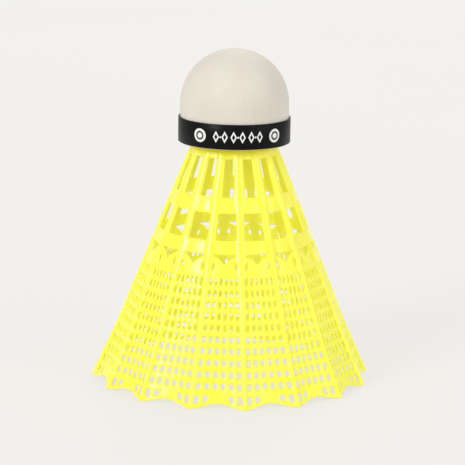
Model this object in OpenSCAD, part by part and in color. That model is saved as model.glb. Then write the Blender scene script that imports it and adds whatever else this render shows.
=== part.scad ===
// Badminton shuttlecock: a moulded nylon skirt whose stem is glued into a covered cork head.
// It stands on the rim of its skirt with the head up. The origin is on the axis, at the rim.
// Every feather is one rib with half a mesh panel on each side, and its tip is one point of the rim.

/* [Skirt] */
// Diameter of the circle through the tips of the rim
rim_d = 68; // [62:1:74]
// Diameter of the neck where it meets the cork
neck_d = 19.4; // [19:0.2:21]
// Height of the skirt from the rim to the cork
skirt_h = 57.6; // [54:0.2:62]
// Thickness of the nylon wall
wall_t = 0.5; // [0.5:0.1:0.8]
// Depth of the hollows in the rim between two tips
scallop_depth = 1.3; // [0.5:0.1:1.6]

/* [Mesh] */
// Rows of mesh openings
mesh_rows = 10; // [5:1:10]
// Mesh openings side by side between two ribs
mesh_cols = 6; // [2:1:6]

/* [Head] */
// Diameter of the covered head
head_d = 26; // [25:0.2:27]
// Length of the head from its flat face to the nose
head_h = 22.4; // [22:0.2:25]
// Thickness of the cover
cover_t = 0.4; // [0.3:0.1:0.6]
// Width of the printed band
band_w = 5.9; // [5:0.1:8]
// Thickness of the printed band
band_t = 0.5; // [0.2:0.1:0.6]

/* [Stem] */
// Outside diameter of the stem
stem_d = 17; // [15:0.5:18]
// Length of the stem inside the head
stem_h = 8.6; // [7:0.2:9]
// Wall of the stem
stem_wall = 1.1; // [0.8:0.1:1.5]

/* [Hidden] */
$fn = 96;

rim_r = rim_d / 2;
neck_r = neck_d / 2;
stem_r = stem_d / 2;
head_r = head_d / 2;
core_r = head_r - cover_t;
glue_t = 0.15;
total_h = skirt_h + head_h;
dome_z = total_h - head_r;
cork_joint_z = skirt_h + stem_h;
band_inset = 0.25;
slug_r = 2.4;
slug_h = 5;

// The skirt is divided into panels, one between each pair of ribs.
panels = 16;
panel_angle = 360 / panels;
stem_floor_t = 1.2;
stem_floor_z = skirt_h - stem_floor_t;

// Ribs stand proud of the wall on both sides, narrow towards the rim and end inside the neck's floor.
// Their feet reach a little lower than the wall between them.
rib_out = 0.35;
rib_in = 0.3;
rib_neck_w = 1.9;
rib_rim_w = 1.0;
rib_top_z = skirt_h - stem_floor_t / 2;
wall_bottom_z = 0.2;
taper = (rim_r - rib_out - neck_r) / skirt_h;

// The wall flares towards the rim: at this height it lies deepest inside the straight cone.
flare_z = 13.8;
flare_in = 0.55;

// The open rows from the neck down: slots, windows, the gaps over the feathers' shoulders, the mesh.
slot_top_z = skirt_h - 2.6;
slot_bottom_z = slot_top_z - 8.4;
slot_angle = 11;
upper_ring_h = 3.7;
window_top_z = slot_bottom_z - upper_ring_h;
window_bottom_z = window_top_z - 5.9;
window_angle = 15.4;
lower_ring_h = 3.2;
gap_top_z = window_bottom_z - lower_ring_h;
gap_bottom_z = gap_top_z - 2.4;
feather_top_z = gap_top_z - 4.6;
mesh_top_z = feather_top_z - 1.4;
mesh_bottom_z = 4.9;
mesh_pitch = (mesh_top_z - mesh_bottom_z) / (mesh_rows - 1);

// Shares of their pitch that the mesh openings take.
mesh_open_across = 0.62;
mesh_open_up = 0.55;

// Share of the width between two ribs that a hollow in the rim takes.
scallop_share = 0.85;

// The pair of small openings in each feather's shoulders, beside the rib.
shoulder_z = feather_top_z + 2;
shoulder_from_rib = 1.45;
shoulder_w = 0.9;
shoulder_h = 1.3;

// A cutter reaches this far to each side of the wall.
cut_reach = 2.5;

// How far the flare draws the wall in at height z.
function flare(z) = flare_in * (z < flare_z ? z / flare_z : (skirt_h - z) / (skirt_h - flare_z));
function wall_r(z) = rim_r - rib_out - z * taper - flare(z);
function rib_w(z) = rib_rim_w + (rib_neck_w - rib_rim_w) * z / skirt_h;
// Clear width between two neighbouring ribs at height z.
function panel_w(z) = 2 * wall_r(z) * tan(panel_angle / 2) - rib_w(z);

// Extrudes an outline drawn as (across, height) through the wall near radius r.
module panel_cut(r) {
    translate([r - cut_reach, 0, 0])
        rotate([90, 0, 90])
            linear_extrude(2 * cut_reach) children();
}

// Outline with one width at the bottom and another at the top.
module tapered_outline(bottom_z, top_z, bottom_w, top_w) {
    polygon([
        [-bottom_w / 2, bottom_z],
        [bottom_w / 2, bottom_z],
        [top_w / 2, top_z],
        [-top_w / 2, top_z],
    ]);
}

// An opening that spans the same angle from its bottom to its top.
module sector_cut(bottom_z, top_z, angle) {
    w_per_r = 2 * tan(angle / 2);
    panel_cut(wall_r((bottom_z + top_z) / 2))
        tapered_outline(bottom_z, top_z, w_per_r * wall_r(bottom_z), w_per_r * wall_r(top_z));
}

// The gap over two neighbouring feathers, whose rounded shoulders meet at the panel's centre.
module gap_cut() {
    half_pitch = wall_r(feather_top_z) * tan(panel_angle / 2);
    shoulder_r = norm([half_pitch, gap_bottom_z - feather_top_z]);
    panel_cut(wall_r((gap_bottom_z + gap_top_z) / 2))
        difference() {
            tapered_outline(gap_bottom_z - 1, gap_top_z, panel_w(gap_bottom_z), panel_w(gap_top_z));
            for (side = [-1, 1]) {
                translate([side * half_pitch, feather_top_z]) circle(shoulder_r);
            }
        }
}

// The small openings that flank the two ribs at the panel's edges.
module shoulder_cut() {
    half_pitch = wall_r(shoulder_z) * tan(panel_angle / 2);
    for (side = [-1, 1]) {
        translate([wall_r(shoulder_z), side * (half_pitch - shoulder_from_rib), shoulder_z])
            cube([2 * cut_reach, shoulder_w, shoulder_h], center = true);
    }
}

// One row of mesh openings, centred on height z.
module mesh_row_cut(z) {
    pitch = panel_w(z) / mesh_cols;
    for (i = [0 : mesh_cols - 1]) {
        across = (i - (mesh_cols - 1) / 2) * pitch;
        translate([wall_r(z), across, z])
            cube([2 * cut_reach, pitch * mesh_open_across, mesh_pitch * mesh_open_up], center = true);
    }
}

// Rounds the rim upwards between two tips.
module scallop_cut() {
    half_w = scallop_share * panel_w(0) / 2;
    arc_r = half_w * half_w / (2 * scallop_depth) + scallop_depth / 2;
    panel_cut(wall_r(0)) translate([0, scallop_depth - arc_r]) circle(arc_r);
}

// Half of the plain moulding's section: flared cone, closed neck and hollow stem.
module skirt_section() {
    bore_r = stem_r - stem_wall;
    polygon([
        [wall_r(wall_bottom_z), wall_bottom_z],
        [wall_r(flare_z), flare_z],
        [neck_r, skirt_h],
        [stem_r, skirt_h],
        [stem_r, skirt_h + stem_h],
        [bore_r, skirt_h + stem_h],
        [bore_r, stem_floor_z],
        [wall_r(stem_floor_z) - wall_t, stem_floor_z],
        [wall_r(flare_z) - wall_t, flare_z],
        [wall_r(wall_bottom_z) - wall_t, wall_bottom_z],
    ]);
}

// One panel between two rib centre lines, with its open rows and its slice of the rim and stem.
module panel() {
    difference() {
        rotate(-panel_angle / 2) rotate_extrude(angle = panel_angle) skirt_section();
        sector_cut(slot_bottom_z, slot_top_z, slot_angle);
        sector_cut(window_bottom_z, window_top_z, window_angle);
        gap_cut();
        shoulder_cut();
        scallop_cut();
        for (row = [0 : mesh_rows - 1]) {
            mesh_row_cut(mesh_top_z - row * mesh_pitch);
        }
    }
}

// One rib, standing in the XZ plane.
module rib() {
    heights = [0, flare_z, rib_top_z];
    outer = [for (z = heights) [wall_r(z) + rib_out, z]];
    inner = [for (i = [2 : -1 : 0]) outer[i] - [rib_out + wall_t + rib_in, 0]];
    intersection() {
        rotate([90, 0, 0]) linear_extrude(rib_neck_w, center = true) polygon(concat(outer, inner));
        rotate([90, 0, 90])
            linear_extrude(rim_d)
                tapered_outline(0, rib_top_z, rib_rim_w, rib_w(rib_top_z));
    }
}

module skirt() {
    color([0.95, 0.97, 0.16]) {
        for (i = [0 : panels - 1]) {
            rotate((i + 0.5) * panel_angle) panel();
            rotate(i * panel_angle) rib();
        }
    }
}

// The head's shape at radius r: a cylinder from height z with a round nose.
module head_solid(r, z) {
    rotate_extrude()
        intersection() {
            translate([0, z]) square([r, total_h]);
            union() {
                translate([0, z]) square([r, dome_z - z]);
                translate([0, dome_z]) circle(r);
            }
        }
}

module cork_base() {
    color([0.80, 0.66, 0.42])
        difference() {
            translate([0, 0, skirt_h]) cylinder(stem_h, r = core_r);
            translate([0, 0, skirt_h - 1]) cylinder(stem_h + 2, r = stem_r + glue_t);
        }
}

module cork_dome() {
    color([0.83, 0.70, 0.49])
        difference() {
            head_solid(core_r, cork_joint_z + glue_t);
            translate([0, 0, cork_joint_z]) cylinder(slug_h, r = slug_r);
        }
}

module cork_glue() {
    color([0.85, 0.78, 0.55])
        translate([0, 0, cork_joint_z])
            difference() {
                cylinder(glue_t, r = core_r);
                translate([0, 0, -1]) cylinder(glue_t + 2, r = slug_r);
            }
}

module stem_glue() {
    color([0.88, 0.82, 0.62])
        translate([0, 0, skirt_h])
            difference() {
                cylinder(stem_h, r = stem_r + glue_t);
                translate([0, 0, -1]) cylinder(stem_h + 2, r = stem_r);
            }
}

module balance_slug() {
    color([0.62, 0.63, 0.65])
        translate([0, 0, cork_joint_z]) cylinder(slug_h, r = slug_r);
}

module head_cover() {
    color([0.90, 0.87, 0.82])
        difference() {
            head_solid(head_r, skirt_h);
            head_solid(core_r, skirt_h - 1);
        }
}

module head_band() {
    color([0.07, 0.07, 0.07])
        translate([0, 0, skirt_h + band_inset])
            difference() {
                cylinder(band_w, r = head_r + band_t);
                translate([0, 0, -1]) cylinder(band_w + 2, r = head_r);
            }
}

skirt();
cork_base();
cork_dome();
cork_glue();
stem_glue();
balance_slug();
head_cover();
head_band();
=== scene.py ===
"""Looks of a synthetic badminton shuttlecock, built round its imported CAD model."""

import math

import bpy
import numpy as np
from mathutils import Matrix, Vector


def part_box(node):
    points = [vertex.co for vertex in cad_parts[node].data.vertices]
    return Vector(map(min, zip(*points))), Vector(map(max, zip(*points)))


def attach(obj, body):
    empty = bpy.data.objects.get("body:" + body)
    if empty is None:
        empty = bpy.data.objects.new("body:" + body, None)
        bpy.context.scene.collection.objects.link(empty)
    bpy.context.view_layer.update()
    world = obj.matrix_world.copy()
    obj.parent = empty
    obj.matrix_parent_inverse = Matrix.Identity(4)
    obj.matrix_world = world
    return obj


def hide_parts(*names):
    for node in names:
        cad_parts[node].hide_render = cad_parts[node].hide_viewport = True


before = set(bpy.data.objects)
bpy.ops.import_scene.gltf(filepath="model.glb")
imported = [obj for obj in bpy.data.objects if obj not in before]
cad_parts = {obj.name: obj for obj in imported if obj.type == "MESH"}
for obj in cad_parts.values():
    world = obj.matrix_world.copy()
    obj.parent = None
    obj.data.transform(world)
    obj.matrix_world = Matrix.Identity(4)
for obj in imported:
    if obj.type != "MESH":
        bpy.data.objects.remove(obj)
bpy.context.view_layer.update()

MM = 0.001
BODY = "root"

# ---------------------------------------------------------------- sizes from the frame

cork_low, cork_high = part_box("cork_base")
cover_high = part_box("head_cover")[1]
band_low, band_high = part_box("head_band")
skirt_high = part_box("skirt")[1]
glue_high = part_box("stem_glue")[1]

SKIRT_H = cork_low.z
CAD_RIB_H = 0.35 * MM
RIM_R = skirt_high.x - CAD_RIB_H
NECK_R = 9.7 * MM
TAPER = (RIM_R - NECK_R) / SKIRT_H
COVER_R = cover_high.x
CORK_R = cork_high.x
NOSE_Z = cover_high.z
DOME_Z = NOSE_Z - COVER_R
GLUE_T = 0.15 * MM
STEM_R = glue_high.x - GLUE_T
STEM_WALL = 1.1 * MM
STEM_TOP_Z = skirt_high.z
STEM_FLOOR_T = 1.2 * MM

# What two pieces keep between them where they would otherwise share a face.
CLEARANCE = 0.02 * MM


# ---------------------------------------------------------------- mesh helpers


def mesh_object(name, points, faces, smooth=True):
    """A new object from points in metres and faces as point numbers."""
    mesh = bpy.data.meshes.new(name)
    mesh.from_pydata([tuple(p) for p in points], [], faces)
    mesh.validate()
    mesh.polygons.foreach_set("use_smooth", [smooth] * len(mesh.polygons))
    mesh.update()
    obj = bpy.data.objects.new(name, mesh)
    bpy.context.scene.collection.objects.link(obj)
    return obj


def place(obj, node, slot, material):
    """Gives a finished piece its material and its body, and hides the CAD node that it stands for."""
    obj.data.materials.append(material)
    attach(obj, BODY)
    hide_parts(node)


def subdivide(obj, levels):
    """Adds a subdivision surface to a piece."""
    modifier = obj.modifiers.new("subdivision", "SUBSURF")
    modifier.levels = levels
    modifier.render_levels = levels


def turned(name, section, segments):
    """A closed ring turned round Z from a closed section of (radius, height) points."""
    points = []
    for i in range(segments):
        angle = math.tau * i / segments
        points += [(r * math.cos(angle), r * math.sin(angle), z) for r, z in section]
    count = len(section)
    faces = []
    for i in range(segments):
        here = i * count
        there = (i + 1) % segments * count
        for k in range(count):
            after = (k + 1) % count
            faces.append((here + k, there + k, there + after, here + after))
    return mesh_object(name, points, faces)


# ---------------------------------------------------------------- skirt: the moulded net

PANELS = 16
CELLS = 6
HALF_PANEL = math.pi / PANELS
COLUMNS = 2 * CELLS + 3
WALL_T = 0.55 * MM

# The wall is drawn in by FLARE_IN at the height FLARE_Z. Between two ribs it sinks by FLUTE at the rim,
# which fades out up to the lower ring by the power FLUTE_FADE.
FLARE_Z = 13.8 * MM
FLARE_IN = 0.55 * MM
FLUTE = 1.5 * MM
FLUTE_FADE = 1.5

# Heights of the moulding's rows, from the rim up.
SCALLOP = 1.15 * MM
RIM_BEAD = 0.8 * MM
TIP_ROW_TOP = 2.95 * MM
MESH_ROWS = 10
MESH_BOTTOM_Z = 4.9 * MM
MESH_TOP_Z = SKIRT_H - 29.8 * MM
MESH_PITCH = (MESH_TOP_Z - MESH_BOTTOM_Z) / (MESH_ROWS - 1)
CELL_H = 0.58 * MESH_PITCH
FEATHER_TOP_Z = SKIRT_H - 28.4 * MM
GAP_BOTTOM_Z = SKIRT_H - 26.2 * MM
SHOULDER_HOLE = (SKIRT_H - 27.1 * MM, SKIRT_H - 25.7 * MM)
SHOULDER_THREAD = 0.5 * MM
LOWER_RING = (SKIRT_H - 23.8 * MM, SKIRT_H - 20.6 * MM)
LEAST_GAP_H = 0.1 * MM
WINDOW_TOP_Z = SKIRT_H - 14.7 * MM
UPPER_RING_TOP_Z = SKIRT_H - 11.0 * MM
SLOT_TOP_Z = SKIRT_H - 2.6 * MM

# Rows this far to both sides of an edge keep it crisp when the net is subdivided.
EDGE = 0.3 * MM

# Widths: the share of its pitch that a mesh cell takes, half of a rib at the rim and what that gains up
# to the lower ring, how far the shoulder holes and the gaps keep from a rib's centre line, and half the
# angle of a window and of a slot.
CELL_SHARE = 0.62
MESH_RIB_HALF_W = 0.5 * MM
MESH_RIB_GAIN = 0.35 * MM
SHOULDER_FROM_RIB = 1.0 * MM
GAP_FROM_RIB = 1.2 * MM
WINDOW_HALF_ANGLE = math.radians(7.7)
SLOT_HALF_ANGLE = math.radians(5.5)

# A rib's rounded section: its crest's share of its width, the height of the crest's edges, and how far
# it stands out on the inside.
CREST_SHARE = 0.62
CREST_EDGE_SHARE = 0.8
INNER_RIB_SHARE = 0.6

# How far the ribs stand out of the wall, from the rim up, in the order of the rows.
RIM_RIB_H = 0.3 * MM
TIP_ROW_RIB_H = 0.33 * MM
MESH_RIB_H = 0.3 * MM
MESH_ROW_RIB_GAIN = 0.01 * MM
SHOULDER_RIB_H = 0.4 * MM
WINDOW_RIB_H = [h * MM for h in (0.42, 0.42, 0.42, 0.44, 0.44, 0.44)]
SLOT_RIB_H = [h * MM for h in (0.44, 0.46, 0.46, 0.46, 0.44, 0.4)]
NECK_RIB_H = [h * MM for h in (0.35, 0.3)]


def wall_r(z):
    """Outer radius of the wall at height z: a cone, drawn in above the rim so that the rim flares."""
    flare = FLARE_IN * np.minimum(z / FLARE_Z, (SKIRT_H - z) / (SKIRT_H - FLARE_Z))
    return RIM_R - z * TAPER - flare


def mesh_rib_half_angle(z):
    """Half the angle that a rib takes up in the mesh."""
    half_w = MESH_RIB_HALF_W + MESH_RIB_GAIN * z / LOWER_RING[0]
    return half_w / wall_r(z)


def column_angles(rib_half, crest_half):
    """Angles of one panel's grid lines from its centre, starting on the rib's centre line."""
    clear = 2 * (HALF_PANEL - rib_half)
    cell = clear / (CELLS + (CELLS - 1) * (1 / CELL_SHARE - 1))
    pitch = cell / CELL_SHARE
    angles = [-HALF_PANEL, -HALF_PANEL + crest_half]
    for i in range(CELLS):
        start = -clear / 2 + i * pitch
        angles += [start, start + cell]
    angles.append(HALF_PANEL - crest_half)
    return np.array(angles)


def rib_profile(height):
    """How far each grid line of a panel stands out: a rounded rib at both edges."""
    out = np.zeros(COLUMNS)
    out[0] = height
    out[1] = out[-1] = CREST_EDGE_SHARE * height
    return out


def open_columns(*cells, threads=False):
    """Marks a panel's open columns: the given mesh cells, with the threads between them or not."""
    mask = np.zeros(COLUMNS, bool)
    for cell in cells:
        mask[2 + 2 * cell] = True
    if threads:
        first, last = 2 + 2 * min(cells), 2 + 2 * max(cells)
        mask[first : last + 1] = True
    return mask


ALL_CELLS = range(CELLS)
CLOSED = open_columns()
MESH_OPEN = open_columns(*ALL_CELLS)
TIP_ROW_OPEN = open_columns(0, 1, CELLS - 2, CELLS - 1)
PANEL_OPEN = open_columns(*ALL_CELLS, threads=True)
SHOULDER_OPEN = open_columns(0, CELLS - 1)


def feather_top(drop, ceiling_z):
    """The rounded tops of two neighbouring feathers, as heights at shares of the half panel."""
    half_pitch = wall_r(FEATHER_TOP_Z) * HALF_PANEL
    radius = math.hypot(half_pitch, GAP_BOTTOM_Z - FEATHER_TOP_Z)

    def height(share):
        across = half_pitch * (1 - np.abs(share))
        top = FEATHER_TOP_Z + np.sqrt(radius**2 - across**2)
        return np.minimum(top - drop, ceiling_z)

    return height


def scallop(lift):
    """The rim's hollow between two tips, lifted by that much."""
    return lambda share: lift + SCALLOP * (1 + np.cos(math.pi * share)) / 2


def level(z):
    """The same height all the way across a panel."""
    return lambda share: np.full_like(share, z)


def opening_rows(bottom_z, top_z, rib_half, rib_heights):
    """The grid rows of one tall opening to a panel, with rows beside its edges to keep them crisp."""
    steps = [
        (bottom_z - EDGE, CLOSED),
        (bottom_z, PANEL_OPEN),
        (bottom_z + EDGE, PANEL_OPEN),
        (top_z - EDGE, PANEL_OPEN),
        (top_z, CLOSED),
        (top_z + EDGE, CLOSED),
    ]
    return [(level(z), rib_half, opening, rib_h) for (z, opening), rib_h in zip(steps, rib_heights)]


def skirt_rows():
    """Rows from the rim up: height over a panel, half a rib's angle, what is open above, rib height."""
    rim_rib = mesh_rib_half_angle(0)
    rows = [
        (scallop(0), rim_rib, CLOSED, RIM_RIB_H),
        (scallop(RIM_BEAD), rim_rib, TIP_ROW_OPEN, TIP_ROW_RIB_H),
        (level(TIP_ROW_TOP), rim_rib, CLOSED, TIP_ROW_RIB_H),
    ]
    for row in range(MESH_ROWS):
        centre = MESH_BOTTOM_Z + row * MESH_PITCH
        rib = mesh_rib_half_angle(centre)
        rib_h = MESH_RIB_H + row * MESH_ROW_RIB_GAIN
        rows.append((level(centre - CELL_H / 2), rib, MESH_OPEN, rib_h))
        rows.append((level(centre + CELL_H / 2), rib, CLOSED, rib_h))

    shoulder_rib = SHOULDER_FROM_RIB / wall_r(SHOULDER_HOLE[0])
    gap_rib = GAP_FROM_RIB / wall_r(LOWER_RING[0])
    rows += [
        (level(SHOULDER_HOLE[0]), shoulder_rib, SHOULDER_OPEN, SHOULDER_RIB_H),
        (feather_top(SHOULDER_THREAD, SHOULDER_HOLE[1]), shoulder_rib, CLOSED, SHOULDER_RIB_H),
        (feather_top(0, LOWER_RING[0] - LEAST_GAP_H), gap_rib, PANEL_OPEN, SHOULDER_RIB_H),
        (level(LOWER_RING[0]), gap_rib, CLOSED, SHOULDER_RIB_H),
        (level(LOWER_RING[0] + EDGE), gap_rib, CLOSED, SHOULDER_RIB_H),
    ]
    rows += opening_rows(LOWER_RING[1], WINDOW_TOP_Z, HALF_PANEL - WINDOW_HALF_ANGLE, WINDOW_RIB_H)
    slot_rib = HALF_PANEL - SLOT_HALF_ANGLE
    rows += opening_rows(UPPER_RING_TOP_Z, SLOT_TOP_Z, slot_rib, SLOT_RIB_H)
    for z, rib_h in zip((SKIRT_H - EDGE, SKIRT_H), NECK_RIB_H):
        rows.append((level(z), slot_rib, CLOSED, rib_h))
    return rows


def skirt_grid():
    """The whole skirt's outer and inner points, as arrays [row, column, xyz], and its solid cells."""
    flute_top = LOWER_RING[0]
    outer, inner, solid = [], [], []
    for height, rib_half, opening, rib_h in skirt_rows():
        middle_z = height(np.zeros(1))[0]
        angles = column_angles(rib_half, CREST_SHARE * mesh_rib_half_angle(middle_z))
        share = angles / HALF_PANEL
        z = height(share)
        flute = FLUTE * np.clip(1 - z / flute_top, 0, 1) ** FLUTE_FADE * (1 - share**2)
        out_r = wall_r(z) - flute + rib_profile(rib_h)
        in_r = wall_r(z) - flute - WALL_T - rib_profile(INNER_RIB_SHARE * rib_h)
        ring_out, ring_in = [], []
        for panel in range(PANELS):
            theta = angles + (2 * panel + 1) * HALF_PANEL
            ring_out.append(np.stack([out_r * np.cos(theta), out_r * np.sin(theta), z], 1))
            ring_in.append(np.stack([in_r * np.cos(theta), in_r * np.sin(theta), z], 1))
        outer.append(np.concatenate(ring_out))
        inner.append(np.concatenate(ring_in))
        solid.append(np.tile(~opening, PANELS))
    return np.array(outer), np.array(inner), np.array(solid[:-1])


def skin_faces(solid):
    """Faces of a closed shell over a ring grid: both skins, and walls round every open cell."""
    rows, columns = solid.shape
    inner_start = (rows + 1) * columns

    def point(row, column, skin):
        return skin * inner_start + row * columns + column % columns

    def is_solid(row, column):
        return 0 <= row < rows and solid[row, column % columns]

    faces = []
    for row in range(rows):
        for column in range(columns):
            if not solid[row, column]:
                continue
            low_left = (row, column)
            low_right = (row, column + 1)
            top_left = (row + 1, column)
            top_right = (row + 1, column + 1)
            corners = [low_left, low_right, top_right, top_left]
            faces.append([point(*c, 0) for c in corners])
            faces.append([point(*c, 1) for c in reversed(corners)])
            sides = [
                (is_solid(row - 1, column), low_left, low_right),
                (is_solid(row, column + 1), low_right, top_right),
                (is_solid(row + 1, column), top_right, top_left),
                (is_solid(row, column - 1), top_left, low_left),
            ]
            for joined, start, end in sides:
                if joined:
                    continue
                faces.append([point(*end, 0), point(*start, 0), point(*start, 1), point(*end, 1)])
    return faces


def used_points(points, faces):
    """Drops the points that no face uses."""
    used = sorted({i for face in faces for i in face})
    number = {old: new for new, old in enumerate(used)}
    return points[used], [[number[i] for i in face] for face in faces]


def skirt_net():
    """The visible skirt: rim, mesh, arches, rings, ribs and neck in one moulding."""
    outer, inner, solid = skirt_grid()
    points = np.concatenate([outer.reshape(-1, 3), inner.reshape(-1, 3)])
    points, faces = used_points(points, skin_faces(solid))
    net = mesh_object("skirt_net", points, faces)
    subdivide(net, 1)
    return net


def skirt_stem():
    """The floor of the neck and the hollow stem that is glued into the cork."""
    bore_r = STEM_R - STEM_WALL
    floor_z = SKIRT_H - STEM_FLOOR_T
    shoulder_z = SKIRT_H - CLEARANCE
    edge = 0.15 * MM
    floor_r = wall_r(floor_z) - WALL_T / 2
    corners = [
        (floor_r, floor_z),
        (bore_r, floor_z),
        (bore_r, STEM_TOP_Z),
        (STEM_R, STEM_TOP_Z),
        (STEM_R, shoulder_z),
        (floor_r, shoulder_z),
    ]
    section = []
    for i, corner in enumerate(corners):
        for other in (corners[i - 1], corners[(i + 1) % len(corners)]):
            step = Vector(other) - Vector(corner)
            section.append(tuple(Vector(corner) + step.normalized() * edge))
    stem = turned("skirt_stem", section, segments=64)
    subdivide(stem, 1)
    return stem


# ---------------------------------------------------------------- head: cover and band

COVER_SEGMENTS = 240
COVER_EDGE_Z = SKIRT_H + CLEARANCE
COVER_T = COVER_R - CORK_R
COVER_LIP_H = 3 * MM
BAND_Z = (band_low.z, band_high.z)
TAPE_T = 0.42 * MM
TAPE_R = COVER_R + 0.04 * MM
LAP_ANGLE = math.radians(14)
FRONT_ANGLE = -math.pi / 2 - math.radians(2.3)

# The gathers above the band: their height, how fast they fade upwards, how far down under the band they
# start, and the waves that they are made of, as (waves in a turn, strength, phase).
PLEAT_H = 0.07 * MM
PLEAT_FADE = 7 * MM
PLEAT_UNDER_BAND = 2 * MM
PLEAT_WAVES = ((23, 1.0, 0.8), (37, 0.8, 2.1), (61, 0.6, 0.0))


def pleat(angle, z):
    """Small gathers of the skin above the band, where a flat piece was drawn over the dome."""
    if z < BAND_Z[1] - PLEAT_UNDER_BAND:
        return 0.0
    wave = sum(strength * math.sin(count * angle + phase) for count, strength, phase in PLEAT_WAVES)
    most = sum(strength for _, strength, _ in PLEAT_WAVES)
    rise = max(z - BAND_Z[1], 0) / PLEAT_FADE
    return PLEAT_H * wave / most * math.exp(-(rise**2))


def cover_outline():
    """The skin's outline as (radius, height): a lip against the cork, the side, and over the nose."""
    side_steps, dome_steps = 14, 30
    lip_r = COVER_R - COVER_T
    outline = [(lip_r, COVER_EDGE_Z + COVER_LIP_H), (lip_r, COVER_EDGE_Z)]
    for k in range(side_steps):
        outline.append((COVER_R, COVER_EDGE_Z + (DOME_Z - COVER_EDGE_Z) * k / side_steps))
    for k in range(dome_steps):
        turn = math.pi / 2 * k / dome_steps
        outline.append((COVER_R * math.cos(turn), DOME_Z + COVER_R * math.sin(turn)))
    return outline


def head_cover():
    """The skin: one sheet turned from its outline, with its gathers, and closed at the nose."""
    outline = cover_outline()
    points = []
    for r, z in outline:
        for i in range(COVER_SEGMENTS):
            angle = math.tau * i / COVER_SEGMENTS
            radius = r + pleat(angle, z)
            points.append((radius * math.cos(angle), radius * math.sin(angle), z))
    points.append((0, 0, NOSE_Z))
    faces = []
    for k in range(len(outline) - 1):
        low, high = k * COVER_SEGMENTS, (k + 1) * COVER_SEGMENTS
        for i in range(COVER_SEGMENTS):
            after = (i + 1) % COVER_SEGMENTS
            faces.append((low + i, low + after, high + after, high + i))
    last = (len(outline) - 1) * COVER_SEGMENTS
    for i in range(COVER_SEGMENTS):
        faces.append((last + i, last + (i + 1) % COVER_SEGMENTS, len(points) - 1))
    return mesh_object("head_cover", points, faces)


def head_band():
    """The printed tape, wrapped once round the cover and lapped over its own start at the back."""
    steps = 300
    corner = 0.06 * MM
    low, high = BAND_Z
    start = FRONT_ANGLE - math.pi
    total = math.tau + LAP_ANGLE
    count = 8
    points = []
    for i in range(steps + 1):
        turn = total * i / steps
        lap = min(max((turn - (math.tau - LAP_ANGLE)) / LAP_ANGLE, 0), 1)
        inner = TAPE_R + TAPE_T * lap * lap * (3 - 2 * lap)
        outer = inner + TAPE_T
        ring = [
            (inner, low + corner),
            (inner + corner, low),
            (outer - corner, low),
            (outer, low + corner),
            (outer, high - corner),
            (outer - corner, high),
            (inner + corner, high),
            (inner, high - corner),
        ]
        angle = start + turn
        points += [(r * math.cos(angle), r * math.sin(angle), z) for r, z in ring]
    faces = [tuple(reversed(range(count)))]
    for i in range(steps):
        here, there = i * count, (i + 1) * count
        for k in range(count):
            after = (k + 1) % count
            faces.append((here + k, there + k, there + after, here + after))
    faces.append(tuple(steps * count + k for k in range(count)))
    band = mesh_object("head_band", points, faces, smooth=False)
    band.data.polygons.foreach_set("use_smooth", [len(p.vertices) == 4 for p in band.data.polygons])
    add_wrap_map(band)
    return band


def add_wrap_map(obj):
    """UVs in millimetres: U round the head from the front centre, V up from the band's middle."""
    layer = obj.data.uv_layers.new(name="wrap")
    middle = sum(BAND_Z) / 2
    for polygon in obj.data.polygons:
        corners = [obj.data.vertices[i].co for i in polygon.vertices]
        centre = sum(corners, Vector()) / len(corners)
        face_turn = (math.atan2(centre.y, centre.x) - FRONT_ANGLE + math.pi) % math.tau - math.pi
        for loop_index in polygon.loop_indices:
            co = obj.data.vertices[obj.data.loops[loop_index].vertex_index].co
            turn = math.atan2(co.y, co.x) - FRONT_ANGLE
            turn += math.tau * round((face_turn - turn) / math.tau)
            layer.data[loop_index].uv = (turn * COVER_R / MM, (co.z - middle) / MM)


# ---------------------------------------------------------------- materials


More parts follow.
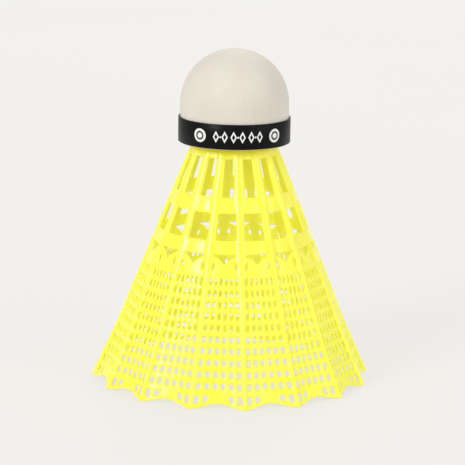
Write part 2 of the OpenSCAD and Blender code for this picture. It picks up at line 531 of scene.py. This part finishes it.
class Shader:
    """A new material with a Principled surface, and short calls for its nodes."""

    def __init__(self, name, roughness, **values):
        self.material = bpy.data.materials.new(name)
        self.material.use_nodes = True
        self.tree = self.material.node_tree
        self.surface = self.tree.nodes["Principled BSDF"]
        self.surface.inputs["Roughness"].default_value = roughness
        for key, value in values.items():
            self.surface.inputs[key.replace("_", " ")].default_value = value
        self.place = self.tree.nodes.new("ShaderNodeTexCoord").outputs["Object"]

    def node(self, kind, **settings):
        """A new node of that kind with its settings."""
        node = self.tree.nodes.new("ShaderNode" + kind)
        for key, value in settings.items():
            setattr(node, key, value)
        return node

    def link(self, start, end):
        """Joins an output to an input."""
        self.tree.links.new(start, end)

    def noise(self, scale, detail=3.0, place=None):
        """Smooth noise; scale is in features to the metre."""
        node = self.node("TexNoise")
        node.inputs["Scale"].default_value = scale
        node.inputs["Detail"].default_value = detail
        self.link(place or self.place, node.inputs["Vector"])
        return node.outputs["Fac"]

    def cells(self, scale, feature="F1", output="Distance"):
        """Voronoi cells; scale is in cells to the metre."""
        node = self.node("TexVoronoi", feature=feature)
        node.inputs["Scale"].default_value = scale
        self.link(self.place, node.inputs["Vector"])
        return node.outputs[output]

    def stretched(self, x, y, z):
        """Object coordinates multiplied on each axis."""
        node = self.node("Mapping")
        node.inputs["Scale"].default_value = (x, y, z)
        self.link(self.place, node.inputs["Vector"])
        return node.outputs["Vector"]

    def math(self, operation, *values, clamp=False):
        """One sum on numbers or on other nodes' outputs."""
        node = self.node("Math", operation=operation, use_clamp=clamp)
        for socket, value in zip(node.inputs, values):
            if isinstance(value, (int, float)):
                socket.default_value = value
            else:
                self.link(value, socket)
        return node.outputs[0]

    def ramp(self, factor, *stops):
        """A colour ramp from (position, colour) stops."""
        node = self.node("ValToRGB")
        elements = node.color_ramp.elements
        while len(elements) < len(stops):
            elements.new(0.5)
        for element, (position, colour) in zip(elements, stops):
            element.position = position
            element.color = (*colour, 1)
        self.link(factor, node.inputs["Fac"])
        return node.outputs["Color"]

    def spread(self, factor, low, high):
        """Maps 0 to 1 onto low to high."""
        node = self.node("MapRange")
        node.inputs["To Min"].default_value = low
        node.inputs["To Max"].default_value = high
        self.link(factor, node.inputs["Value"])
        return node.outputs["Result"]

    def mix(self, factor, first, second, blend="MIX"):
        """Two colours mixed by a factor, each a value or another node's output."""
        node = self.node("Mix", data_type="RGBA", blend_type=blend)
        for name, value in (("Factor", factor), ("A", first), ("B", second)):
            socket = [s for s in node.inputs if s.name == name and s.enabled][0]
            if isinstance(value, tuple):
                socket.default_value = (*value, 1)
            elif isinstance(value, (int, float)):
                socket.default_value = value
            else:
                self.link(value, socket)
        return [s for s in node.outputs if s.enabled][0]

    def bump(self, height, depth, under=None):
        """A bump of that depth in metres, on top of another bump if one is given."""
        node = self.node("Bump")
        node.inputs["Distance"].default_value = depth
        self.link(height, node.inputs["Height"])
        if under:
            self.link(under, node.inputs["Normal"])
        return node.outputs["Normal"]

    def finish(self, colour, normal=None, roughness=None):
        """Plugs the results into the surface and gives the material."""
        self.link(colour, self.surface.inputs["Base Color"])
        if normal:
            self.link(normal, self.surface.inputs["Normal"])
        if roughness:
            self.link(roughness, self.surface.inputs["Roughness"])
        return self.material


def nylon():
    """Fluorescent yellow nylon: slightly cloudy and satin, with a painted glow that stands in for its
    fluorescence and for light passing through it.
    """
    s = Shader(
        "nylon_yellow",
        0.4,
        IOR=1.5,
        Subsurface_Weight=0.9,
        Subsurface_Radius=(1.0, 1.0, 0.3),
        Subsurface_Scale=2 * MM,
        Coat_Weight=0.4,
        Coat_Roughness=0.15,
        # The emission is a painted glow: it brightens the nylon everywhere, also where it lies in
        # shade.
        Emission_Color=(0.80, 0.76, 0.06, 1),
        Emission_Strength=0.12,
    )
    cloud = s.noise(140)
    colour = s.ramp(cloud, (0.3, (0.72, 0.70, 0.03)), (0.7, (0.79, 0.768, 0.05)))
    flow = s.noise(500, place=s.stretched(1, 1, 0.2))
    skin = s.bump(s.noise(5200, 2), 0.02 * MM)
    normal = s.bump(flow, 0.08 * MM, skin)
    return s.finish(colour, normal, s.spread(s.noise(900), 0.22, 0.38))


def cover_skin():
    """Cream artificial leather with a fine closed grain."""
    s = Shader("cover_cream", 0.6, IOR=1.45, Sheen_Weight=0.1, Sheen_Roughness=0.5)
    tone = s.noise(90, 5)
    colour = s.ramp(tone, (0.3, (0.60, 0.552, 0.48)), (0.7, (0.65, 0.615, 0.543)))
    grain = s.cells(2600)
    pores = s.ramp(grain, (0.0, (0.93, 0.92, 0.90)), (0.25, (1, 1, 1)))
    colour = s.mix(1.0, colour, pores, "MULTIPLY")
    normal = s.bump(s.cells(2600, "SMOOTH_F1"), 0.05 * MM)
    normal = s.bump(s.noise(420, 4), 0.12 * MM, normal)
    return s.finish(colour, normal, s.spread(s.noise(700), 0.5, 0.68))


def band_print(s):
    """How much white ink lies where on the tape. Sizes are in millimetres, as the wrap map's are."""
    soft = 0.05
    disc_at, disc_r = 9.3, 1.65
    groove_r, groove_half_w = 0.85, 0.22
    step = 2.05
    lozenge_half_w, lozenge_slope, line_half_w = 0.56, 0.52, 0.2
    dot_r = 0.24

    def inside(distance, edge):
        return s.math("DIVIDE", s.math("SUBTRACT", edge, distance), soft, clamp=True)

    def apart(first, second):
        return s.math("ABSOLUTE", s.math("SUBTRACT", first, second))

    def length(across, up):
        return s.math("SQRT", s.math("ADD", s.math("POWER", across, 2), s.math("POWER", up, 2)))

    # The pattern is printed on the front and again on the back.
    axes = s.node("SeparateXYZ")
    s.link(s.node("UVMap", uv_map="wrap").outputs["UV"], axes.inputs[0])
    quarter_turn = math.pi * COVER_R / MM / 2
    along = s.math("ABSOLUTE", s.math("WRAP", axes.outputs[0], quarter_turn, -quarter_turn))
    up = s.math("ABSOLUTE", axes.outputs[1])

    # A disc with a black groove at each end.
    reach = length(s.math("SUBTRACT", along, disc_at), up)
    groove = inside(apart(reach, groove_r), groove_half_w)
    disc = s.math("MULTIPLY", inside(reach, disc_r), s.math("SUBTRACT", 1, groove))

    # Outlined lozenges between them, with a dot in the middle and after every second one.
    from_dot = s.math("PINGPONG", along, step)
    from_lozenge = s.math("ADD", apart(from_dot, step / 2), s.math("MULTIPLY", up, lozenge_slope))
    lozenge = inside(apart(from_lozenge, lozenge_half_w), line_half_w)
    dot = inside(length(from_dot, up), dot_r)
    row = s.math("MULTIPLY", s.math("MAXIMUM", lozenge, dot), inside(along, 3 * step))

    worn = s.spread(s.noise(2500, 4), 0.86, 1.06)
    return s.math("MULTIPLY", s.math("MAXIMUM", disc, row), worn, clamp=True)


def band_tape():
    """Satin black tape with a plain white pattern: two ringed discs, and lozenges and dots between."""
    s = Shader("band_print", 0.45, IOR=1.5, Specular_IOR_Level=0.08)
    ink = band_print(s)
    black = s.ramp(s.noise(300), (0.3, (0.003, 0.003, 0.003)), (0.7, (0.006, 0.006, 0.006)))
    colour = s.mix(ink, black, (0.80, 0.80, 0.79))
    normal = s.bump(s.noise(1500, 3), 0.02 * MM)
    normal = s.bump(ink, 0.02 * MM, normal)
    return s.finish(colour, normal, s.spread(s.noise(500, 4), 0.26, 0.46))


def pressed_cork():
    """Cut face of pressed cork: packed granules of several browns with dark joints."""
    s = Shader("cork_pressed", 0.8, IOR=1.4)
    tone = s.node("SeparateColor")
    s.link(s.cells(900, output="Color"), tone.inputs[0])
    granule = s.ramp(
        tone.outputs[0],
        (0.0, (0.36, 0.21, 0.09)),
        (0.35, (0.56, 0.36, 0.17)),
        (1.0, (0.72, 0.50, 0.26)),
    )
    fleck = s.ramp(s.noise(4200, 4), (0.35, (0.72, 0.66, 0.58)), (0.6, (1, 1, 1)))
    colour = s.mix(1.0, granule, fleck, "MULTIPLY")
    joint = s.cells(900, "DISTANCE_TO_EDGE")
    shade = s.spread(s.math("MULTIPLY", joint, 9, clamp=True), 0.55, 0.0)
    colour = s.mix(shade, colour, (0.16, 0.08, 0.03))
    normal = s.bump(s.math("MULTIPLY", joint, 4, clamp=True), 0.15 * MM)
    normal = s.bump(s.noise(3000, 4), 0.06 * MM, normal)
    return s.finish(colour, normal)


def natural_cork():
    """Solid natural cork with growth streaks and dark pores."""
    s = Shader("cork_natural", 0.75, IOR=1.4)
    streak = s.noise(160, 5, s.stretched(1, 1, 5))
    colour = s.ramp(streak, (0.3, (0.58, 0.38, 0.19)), (0.7, (0.74, 0.54, 0.31)))
    pores = s.ramp(s.cells(420), (0.06, (0.35, 0.24, 0.15)), (0.16, (1, 1, 1)))
    colour = s.mix(1.0, colour, pores, "MULTIPLY")
    normal = s.bump(s.noise(1400, 5), 0.1 * MM)
    return s.finish(colour, normal)


def set_glue():
    """Amber glue film with small bubbles."""
    s = Shader("glue_amber", 0.25, IOR=1.5, Coat_Weight=0.3)
    colour = s.ramp(s.noise(700), (0.3, (0.62, 0.48, 0.22)), (0.7, (0.78, 0.66, 0.38)))
    normal = s.bump(s.cells(2200), 0.05 * MM)
    return s.finish(colour, normal)


def turned_steel():
    """Bright steel with the fine rings of a lathe tool."""
    s = Shader("steel_turned", 0.3, Metallic=1.0)
    rings = s.node("TexWave", wave_type="RINGS", rings_direction="Z")
    rings.inputs["Scale"].default_value = 2600
    rings.inputs["Distortion"].default_value = 0.6
    s.link(s.place, rings.inputs["Vector"])
    colour = s.ramp(s.noise(900), (0.3, (0.50, 0.51, 0.53)), (0.7, (0.62, 0.63, 0.65)))
    normal = s.bump(rings.outputs["Fac"], 0.01 * MM)
    return s.finish(colour, normal, s.spread(s.noise(1500), 0.22, 0.4))


def floor_paper():
    """Matt off-white studio paper."""
    s = Shader("floor_paper", 0.9, Emission_Color=(1, 0.984, 0.955, 1), Emission_Strength=0.635)
    colour = s.ramp(s.noise(3), (0.3, (0.175, 0.172, 0.166)), (0.7, (0.190, 0.187, 0.181)))
    return s.finish(colour, s.bump(s.noise(900, 4), 0.02 * MM))


# ---------------------------------------------------------------- studio


def studio_floor():
    """A round pale floor that curves up into a low wall on every side."""
    floor_r, bend_r, wall_h = 1.8, 0.7, 0.9
    ring_w, bend_steps, segments = 0.3, 12, 96
    outline = [(ring_w * k, 0.0) for k in range(1, int(floor_r / ring_w) + 1)]
    for k in range(1, bend_steps + 1):
        turn = math.pi / 2 * k / bend_steps
        outline.append((floor_r + bend_r * math.sin(turn), bend_r * (1 - math.cos(turn))))
    outline.append((floor_r + bend_r, bend_r + wall_h))
    points = [(0, 0, 0)]
    for r, z in outline:
        for i in range(segments):
            angle = math.tau * i / segments
            points.append((r * math.cos(angle), r * math.sin(angle), z))
    faces = []
    for i in range(segments):
        after = (i + 1) % segments
        faces.append((0, 1 + i, 1 + after))
        for k in range(len(outline) - 1):
            low, high = 1 + k * segments, 1 + (k + 1) * segments
            faces.append((low + i, high + i, high + after, low + after))
    floor = mesh_object("floor", points, faces)
    floor.data.materials.append(floor_paper())


def area_light(name, position, size, power):
    """A square area light that faces the shuttle's middle."""
    data = bpy.data.lights.new(name, "AREA")
    data.size = size
    data.energy = power
    light = bpy.data.objects.new(name, data)
    light.location = position
    towards = Vector((0, 0, NOSE_Z / 2)) - light.location
    light.rotation_euler = towards.to_track_quat("-Z", "Y").to_euler()
    bpy.context.scene.collection.objects.link(light)


def studio_lights():
    """Soft light from all round, with a brighter key from the upper left."""
    area_light("key", (-0.88, -0.76, 0.66), 0.45, 8)
    area_light("fill", (1.0, -0.8, 0.5), 1.0, 4.5)
    area_light("back", (0.3, 1.1, 0.9), 0.8, 4)
    world = bpy.data.worlds.new("studio")
    world.use_nodes = True
    background = world.node_tree.nodes["Background"]
    background.inputs["Color"].default_value = (1, 1, 1, 1)
    background.inputs["Strength"].default_value = 0.72
    bpy.context.scene.world = world
    bpy.context.scene.view_settings.view_transform = "Standard"


def studio_camera():
    """Looks at the shuttle's middle from a little above, with the photo's slight lean."""
    distance, height, aim_share = 0.565, 0.157, 0.44
    turn, lean = math.radians(6.3), math.radians(1.0)
    data = bpy.data.cameras.new("camera")
    data.lens = 185
    camera = bpy.data.objects.new("camera", data)
    camera.location = (-distance * math.sin(turn), -distance * math.cos(turn), height)
    towards = Vector((0, 0, aim_share * NOSE_Z)) - camera.location
    camera.rotation_euler = towards.to_track_quat("-Z", "Y").to_euler()
    camera.rotation_euler.rotate_axis("Z", lean)
    bpy.context.scene.collection.objects.link(camera)
    bpy.context.scene.camera = camera


# ---------------------------------------------------------------- the whole shuttle


def repaint(node, material):
    """Gives a CAD node that stays its finished material."""
    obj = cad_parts[node]
    obj.data.materials.clear()
    obj.data.materials.append(material)


yellow = nylon()
place(skirt_net(), "skirt", "nylon", yellow)
place(skirt_stem(), "skirt", "nylon", yellow)
place(head_cover(), "head_cover", "cover_skin", cover_skin())
place(head_band(), "head_band", "band_tape", band_tape())
glue = set_glue()
repaint("cork_base", pressed_cork())
repaint("cork_dome", natural_cork())
repaint("cork_glue", glue)
repaint("stem_glue", glue)
repaint("balance_slug", turned_steel())

studio_floor()
studio_lights()
studio_camera()
